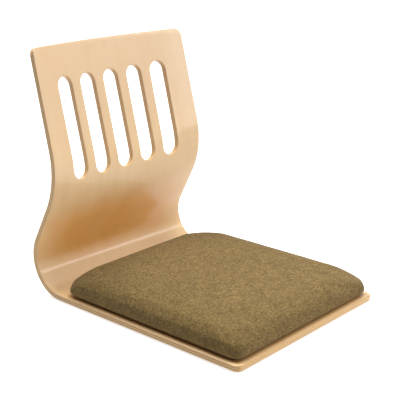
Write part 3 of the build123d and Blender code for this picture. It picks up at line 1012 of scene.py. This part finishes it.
def matted_fibre_group():
    """Loose fibres pressed together: long noise laid in three directions, and clouds of a second tone."""
    tree, given, made = effect_group(
        "matted_fibre",
        [("Place", VECTOR, (0, 0, 0)), ("Size", FLOAT, 0.001), ("Dark", COLOUR, (0, 0, 0, 1)),
         ("Light", COLOUR, (1, 1, 1, 1)), ("Clouds", FLOAT, 0.3)],
        [("Color", COLOUR), ("Roughness", FLOAT), ("Height", FLOAT)],
    )
    counted = vector_calc(tree, "SCALE", given["Place"], calc(tree, "DIVIDE", 1.0, given["Size"]))
    laid = 0.0
    for turn in FIBRE_TURNS:
        turned = turn_about(tree, counted, (*FIBRE_TILT, turn))
        laid = calc(tree, "MAXIMUM", grain(tree, turned, (1.0, FIBRE_DRAWN), 3, roughness=0.6), laid)
    clouds = spread(tree, grain(tree, counted, (CLOUD_DRAWN, CLOUD_DRAWN), 3), *FIRM)
    tone = mix_numbers(tree, given["Clouds"], spread(tree, laid, *FIBRE_RANGE), clouds)
    tree.links.new(mix(tree, tone, given["Dark"], given["Light"]), made["Color"])
    tree.links.new(calc(tree, "MULTIPLY_ADD", tone, -FIBRE_SMOOTHER, FIBRE_ROUGH), made["Roughness"])
    tree.links.new(laid, made["Height"])
    return tree


# ------------------------------------------------------------------ finishes
WOOD_PALE = colour(250, 215, 165)
WOOD_UPPER_BACK = colour(237, 204, 163)
WOOD_FIGURE = colour(229, 187, 137)
WOOD_HONEY_AND_SHADE = colour(226, 166, 88)
WOOD_END = colour(226, 178, 106)
WOOD_CONTACT_SHADOW = colour(140, 92, 46)
PLY_LONG = colour(253, 217, 158)
PLY_CROSS_END = colour(212, 162, 94)
GLUE = colour(160, 112, 56)

# Where tints and painted shade and light lie, along the sheet from its front edge and across from its
# middle
HONEY_AND_SHADE_START, HONEY_AND_SHADE_FULL, HONEY_AND_SHADE_LAST, HONEY_AND_SHADE_END = 0.485, 0.53, 0.585, 0.675  # the bend and the lean: honey tone there, and painted shade
HONEY_AND_SHADE_SIDE, HONEY_AND_SHADE_NONE = 0.11, 0.24  # where it starts to fade, and where it would be gone
HONEY_AND_SHADE_AT_BACK = 0.3  # share of the honey tone and painted shade that is left at the back veneer
LUMBAR_LIGHT_FADES, LUMBAR_LIGHT_GONE = 0.68, 0.86  # painted light: paler wood up to the lumbar curve, fading to the upper back's colour by the middle of the back
PAD_SHADOW_REACH, PAD_SHADOW_DEPTH = 16 * MM, 0.6  # painted shadow of the pad: how far past its foot it reaches, and how deep it is
CONTACT_SHADOW_HALF_WIDTH, CONTACT_SHADOW_DEPTH = 5 * MM, 0.45  # painted contact shadow along the pad's foot: its half width and its depth
WORN_FROM, WORN_TO = 0.2 * MM, 2.4 * MM  # distance from an edge over which its wear fades
END_FROM, END_FULL = 0.35, 0.85  # how squarely a face cuts the grain, where it starts to show end grain

YARN_DARK, YARN_MIDDLE, YARN_LIGHT = colour(116, 94, 52), colour(135, 111, 65), colour(153, 128, 79)
YARN_PITCH = 1.15 * MM
FELT_DARK, FELT_LIGHT = colour(92, 70, 50), colour(150, 122, 92)
WADDING_DARK, WADDING_LIGHT = colour(214, 210, 200), colour(244, 242, 236)
BOARD_DARK, BOARD_LIGHT = colour(140, 104, 68), colour(196, 160, 116)
LINING_DARK, LINING_LIGHT = colour(34, 33, 32), colour(66, 64, 62)
HOOK_DARK, HOOK_LIGHT = colour(150, 132, 96), colour(198, 180, 140)
LOOP_DARK, LOOP_LIGHT = colour(128, 110, 74), colour(190, 170, 128)
FOAM_FRESH, FOAM_AGED, FOAM_HOLLOW_SHADE = colour(238, 226, 176), colour(226, 204, 140), colour(176, 156, 100)
FOAM_CELL_RATE, FOAM_AGE_RATE = 900.0, 40.0  # changes a metre
FOAM_HOLLOW_SHADE_DEPTH = 0.35  # how far a cell's hollow takes the painted shade
FOAM_WALL = (0.2, 0.7)  # distances from a cell's middle, for one from cell to cell, where its wall rises
FOAM_ROUGH, WALL_ROUGH = 0.86, 0.08  # roughness of a cell, and what its wall adds
ZINC_DARK, ZINC_LIGHT = colour(150, 152, 156), colour(196, 198, 202)
SPANGLE_RATE, DRAWN_RATES = 1400.0, (9000, 9000, 2600)  # changes a metre
WIRE_BRIGHT, WIRE_DULL = 0.28, 0.45  # roughness


def honey_and_shade_share(tree, part, past_foot):
    """How far the wood takes its deeper colour, from its place on the flat sheet.

    In a band across the bend and the lean, which fades towards the sides, it is partly honey tone and
    partly painted shade. Under the pad and out past its foot onto the seat's margin it is painted shadow of
    the pad. It fades with depth, so the back shows less of it.
    """
    band = calc(tree, "MULTIPLY", spread(tree, part["Y"], HONEY_AND_SHADE_START, HONEY_AND_SHADE_FULL),
                spread(tree, part["Y"], HONEY_AND_SHADE_LAST, HONEY_AND_SHADE_END, 1.0, 0.0))
    from_middle = calc(tree, "ABSOLUTE", part["X"])
    band = calc(tree, "MULTIPLY", band, spread(tree, from_middle, HONEY_AND_SHADE_SIDE, HONEY_AND_SHADE_NONE, 1.0, 0.0))
    # painted shadow of the pad, under it and out past its foot onto the seat's margin
    pad_shadow = spread(tree, past_foot, 0.0, PAD_SHADOW_REACH, PAD_SHADOW_DEPTH, 0.0)
    in_depth = spread(tree, part["Z"], -SHELL, -VENEER, HONEY_AND_SHADE_AT_BACK, 1.0)
    return calc(tree, "MULTIPLY", calc(tree, "MAXIMUM", band, pad_shadow), in_depth)


def distance_past_foot(tree, part):
    """How far a place on the flat sheet is outside the rectangle of the pad's foot, negative inside it."""
    from_pad = calc(tree, "ABSOLUTE", calc(tree, "SUBTRACT", part["Y"], PAD_Y - FRONT_Y))
    past_side = calc(tree, "SUBTRACT", calc(tree, "ABSOLUTE", part["X"]), PAD_HALF_WIDTH - PAD_FOOT_INSET)
    past_end = calc(tree, "SUBTRACT", from_pad, PAD_HALF_LENGTH - PAD_FOOT_INSET)
    return calc(tree, "MAXIMUM", past_side, past_end)


def wood_material(name, group, glue, along_x, base, end, contrast):
    """Lacquered wood on the flat sheet's own places; along_x turns the grain across the chair.

    Painted light makes the wood paler up to the lumbar; a painted contact shadow runs along the pad's foot.
    """
    made, tree = new_material(name)
    flat = attribute(tree, "flat")
    part = parts(tree, flat)
    turned = flat
    if along_x:
        turned = turn_about(tree, flat, (0, 0, math.pi / 2))
    edge = spread(tree, attribute(tree, "edge_distance", "Fac"), WORN_FROM, WORN_TO, 1.0, 0.0)
    faced = parts(tree, attribute(tree, "flat_normal"))["X" if along_x else "Y"]
    past_foot = distance_past_foot(tree, part)
    # painted light: the wood is paler up to the lumbar curve than on the upper back
    lumbar_lit = mix(tree, spread(tree, part["Y"], LUMBAR_LIGHT_FADES, LUMBAR_LIGHT_GONE), base, WOOD_UPPER_BACK)
    out = use_group(tree, group, {
        "Place": turned, "End Grain": spread(tree, faced, END_FROM, END_FULL), "Edge": edge,
        # share of the deeper colour: honey tone with painted shade, and painted shadow round the pad
        "Tint And Shade": honey_and_shade_share(tree, part, past_foot), "Base": lumbar_lit, "Figure": WOOD_FIGURE,
        "End Colour": end, "Tint And Shade Colour": WOOD_HONEY_AND_SHADE, "Contrast": contrast,
    })
    depth = calc(tree, "MULTIPLY", part["Z"], -1.0)
    glued = use_group(tree, glue, {"Depth": depth, "Color": out["Color"], "Glue": GLUE})
    # painted contact shadow along the line of the pad's foot, on the face veneer only
    shadowed = spread(tree, calc(tree, "ABSOLUTE", past_foot), 0.0, CONTACT_SHADOW_HALF_WIDTH, CONTACT_SHADOW_DEPTH, 0.0)
    shadowed = calc(tree, "MULTIPLY", shadowed, spread(tree, part["Z"], -VENEER, 0.0))
    shadowed = mix(tree, shadowed, glued["Color"], WOOD_CONTACT_SHADOW)
    surface(tree, shadowed, out["Roughness"], out["Height"], bump=0.03 * MM, Coat_Weight=0.4,
            Coat_Roughness=0.13, Specular_IOR_Level=0.4)
    return made


def cloth_material(name, group):
    """The pad's cover: woven, matt, with the soft sheen of loose fibres."""
    made, tree = new_material(name)
    out = use_group(tree, group, {
        "Place": attribute(tree, "cloth"), "Pitch": YARN_PITCH, "Dark": YARN_DARK, "Middle": YARN_MIDDLE,
        "Light": YARN_LIGHT, "Mottle": 0.8,
    })
    surface(tree, out["Color"], out["Roughness"], out["Height"], bump=0.25 * MM, Sheen_Weight=0.12,
            Sheen_Roughness=0.4, Specular_IOR_Level=0.2)
    return made


def fibre_material(name, group, size, dark, light, clouds, bump, **constants):
    """Felt, wadding, tape, lining or board: pressed fibres of one size and two tones."""
    made, tree = new_material(name)
    place = own_place(tree)
    inputs = {"Place": place, "Size": size, "Dark": dark, "Light": light, "Clouds": clouds}
    out = use_group(tree, group, inputs)
    surface(tree, out["Color"], out["Roughness"], out["Height"], bump, **constants)
    return made


def foam_material(name):
    """Cut foam: round cells by the distance to a cell's middle, in paler and yellower patches."""
    made, tree = new_material(name)
    place = own_place(tree)
    cells = node(tree, "ShaderNodeTexVoronoi", {"Vector": place, "Scale": FOAM_CELL_RATE})
    wall = spread(tree, cells.outputs["Distance"], *FOAM_WALL)
    aged = noise(tree, place, scale=FOAM_AGE_RATE, detail=3)
    tone = mix(tree, spread(tree, aged, *FIRM), FOAM_FRESH, FOAM_AGED)
    # painted shade in the hollow of each cut cell
    base = mix(tree, wall, mix(tree, FOAM_HOLLOW_SHADE_DEPTH, tone, FOAM_HOLLOW_SHADE), tone)
    rough = calc(tree, "MULTIPLY_ADD", wall, WALL_ROUGH, FOAM_ROUGH)
    surface(tree, base, rough, wall, bump=0.3 * MM, Specular_IOR_Level=0.2)
    return made


def wire_material(name):
    """Galvanised wire: zinc with soft spangles and fine drawing marks."""
    made, tree = new_material(name)
    place = own_place(tree)
    spangle = noise(tree, place, scale=SPANGLE_RATE)
    marks = noise(tree, scaled(tree, place, *DRAWN_RATES))
    base = mix(tree, spread(tree, spangle, *FIRM), ZINC_DARK, ZINC_LIGHT)
    rough = spread(tree, marks, *SOFT, WIRE_BRIGHT, WIRE_DULL)
    surface(tree, base, rough, marks, bump=0.01 * MM, Metallic=1.0)
    return made


def build_finishes():
    """Every material of the chair, by its slot's name."""
    wood, glue, weave = wood_figure_group(), glue_line_group(), woven_cloth_group()
    fibre = matted_fibre_group()
    return {
        "pad_cloth": cloth_material("pad_tweed", weave),
        "felt": fibre_material(
            "glide_felt", fibre, size=0.3 * MM, dark=FELT_DARK, light=FELT_LIGHT, clouds=0.3, bump=0.3 * MM,
            Sheen_Weight=0.3, Sheen_Roughness=0.5, Specular_IOR_Level=0.2,
        ),
        "wadding": fibre_material(
            "fibre_wadding", fibre, size=0.5 * MM, dark=WADDING_DARK, light=WADDING_LIGHT, clouds=0.4,
            bump=0.6 * MM, Sheen_Weight=0.3, Sheen_Roughness=0.6, Specular_IOR_Level=0.2,
        ),
        "foam": foam_material("cut_foam"),
        "board": fibre_material(
            "pressed_board", fibre, size=1.6 * MM, dark=BOARD_DARK, light=BOARD_LIGHT, clouds=0.4,
            bump=0.1 * MM, Specular_IOR_Level=0.3,
        ),
        "lining_cloth": fibre_material(
            "bonded_lining", fibre, size=0.4 * MM, dark=LINING_DARK, light=LINING_LIGHT, clouds=0.3,
            bump=0.15 * MM, Sheen_Weight=0.2, Sheen_Roughness=0.4, Specular_IOR_Level=0.3,
        ),
        "hook_tape": fibre_material(
            "hook_nylon", fibre, size=0.25 * MM, dark=HOOK_DARK, light=HOOK_LIGHT, clouds=0.2,
            bump=0.1 * MM, Specular_IOR_Level=0.5,
        ),
        "loop_tape": fibre_material(
            "loop_nylon", fibre, size=0.2 * MM, dark=LOOP_DARK, light=LOOP_LIGHT, clouds=0.4,
            bump=0.3 * MM, Sheen_Weight=0.4, Sheen_Roughness=0.4, Specular_IOR_Level=0.2,
        ),
        "staple_wire": wire_material("zinc_wire"),
        "veneer": wood_material(
            "veneer_wood", wood, glue, along_x=False, base=WOOD_PALE, end=WOOD_END, contrast=0.5,
        ),
        "long_ply": wood_material(
            "long_ply_wood", wood, glue, along_x=False, base=PLY_LONG, end=WOOD_END, contrast=0.8,
        ),
        "cross_ply": wood_material(
            "cross_ply_wood", wood, glue, along_x=True, base=PLY_LONG, end=PLY_CROSS_END, contrast=0.8,
        ),
    }


# ------------------------------------------------------------------ studio
CAMERA_PLACE = (-1.2498, -1.1150, 0.7179)
CAMERA_AZIMUTH = math.radians(-48.3)
CAMERA_ELEVATION = math.radians(17.43)
CAMERA_LENS = 84.9
FLOOR_SIZE = 24.0
FLOOR_SHADE = 0.72  # how much of the light the floor gives back
FLOOR_GLOW, GLOW_FULL = 0.77, 1.0  # its glow for seen rays, under the chair and away from it
GLOW_NEAR, GLOW_FAR = 0.5, 1.6  # distances over which the glow grows
SKY_FILL = 0.06
AIM = (0, 0, 0.2)
LAMP_DISTANCE = 2.9
# Name of each lamp, degrees up, degrees from the front towards the chair's +X side, its two sizes, watts
LAMPS = (
    ("overhead", 77, 80, (1.6, 1.6), 64),
    ("front", 14, 14, (1.2, 1.2), 23),
    ("strip", 27, 43, (1.8, 0.32), 17),
    ("side", 20, -80, (1.2, 1.2), 1),
    ("rear", 58, -175, (1.2, 1.2), 60),
)


def place_camera():
    """The camera of the photograph: its place, its turn from +Y and its tilt down."""
    camera = bpy.data.objects.new("camera", bpy.data.cameras.new("camera"))
    camera.data.lens = CAMERA_LENS
    camera.data.sensor_width = 36
    camera.data.clip_start = 0.05
    camera.location = CAMERA_PLACE
    camera.rotation_euler = (math.pi / 2 - CAMERA_ELEVATION, 0, CAMERA_AZIMUTH)
    bpy.context.scene.collection.objects.link(camera)
    bpy.context.scene.camera = camera


def area_light(name, up, round_front, size, power):
    """A flat soft light on a sphere about the chair, turned to the chair's middle."""
    light = bpy.data.lights.new(name, "AREA")
    light.energy = power
    light.shape = "RECTANGLE"
    light.size, light.size_y = size
    lamp = bpy.data.objects.new(name, light)
    up, round_front = math.radians(up), math.radians(round_front)
    away = (math.cos(up) * math.sin(round_front), -math.cos(up) * math.cos(round_front), math.sin(up))
    lamp.location = [a + LAMP_DISTANCE * b for a, b in zip(AIM, away)]
    lamp.rotation_euler = (math.pi / 2 - up, 0, round_front)
    bpy.context.scene.collection.objects.link(lamp)


def seen_rays(tree):
    """1 for rays that see the backdrop straight, in a gloss or through glass."""
    path = node(tree, "ShaderNodeLightPath").outputs
    seen = calc(tree, "MAXIMUM", path["Is Camera Ray"], path["Is Glossy Ray"])
    return calc(tree, "MAXIMUM", seen, path["Is Transmission Ray"])


def white_world(fill):
    """White where it is seen, and a weaker white light on the object."""
    world = bpy.data.worlds.new("studio")
    world.use_nodes = True
    tree = world.node_tree
    tree.nodes.clear()
    strength = calc(tree, "MULTIPLY_ADD", seen_rays(tree), 1 - fill, fill)
    background = node(tree, "ShaderNodeBackground", {"Color": (1, 1, 1, 1), "Strength": strength})
    node(tree, "ShaderNodeOutputWorld", {"Surface": background.outputs[0]})
    bpy.context.scene.world = world


def white_floor(glow):
    """A white floor that keeps the chair's shadow: its glow, for seen rays, is less near the chair."""
    half = FLOOR_SIZE / 2
    corners = np.array([[-half, -half, 0], [half, -half, 0], [half, half, 0], [-half, half, 0]])
    floor = mesh_object("floor", corners, [np.array([[0, 1, 2, 3]])])
    made, tree = new_material("floor_paper")
    diffuse = node(tree, "ShaderNodeBsdfDiffuse", {"Color": (FLOOR_SHADE, FLOOR_SHADE, FLOOR_SHADE, 1)})
    place = own_place(tree)
    away = node(tree, "ShaderNodeVectorMath", {0: place}, operation="LENGTH").outputs["Value"]
    glow_there = spread(tree, away, GLOW_NEAR, GLOW_FAR, glow, GLOW_FULL)
    strength = calc(tree, "MULTIPLY", seen_rays(tree), glow_there)
    lit = node(tree, "ShaderNodeEmission", {"Strength": strength})
    both = node(tree, "ShaderNodeAddShader", {0: diffuse.outputs[0], 1: lit.outputs[0]})
    node(tree, "ShaderNodeOutputMaterial", {"Surface": both.outputs[0]})
    floor.data.materials.append(made)


def build_studio():
    """The camera, a white world and floor, and the lamps."""
    place_camera()
    white_world(SKY_FILL)
    white_floor(FLOOR_GLOW)
    for lamp in LAMPS:
        area_light(*lamp)
    bpy.context.scene.view_settings.view_transform = "Standard"


finishes = build_finishes()
build_shell(finishes)
build_cover(finishes)
build_stuffing(finishes)
build_glides(finishes)
build_tapes(finishes)
build_lining(finishes)
build_staples(finishes)
dress_board(finishes)
build_studio()
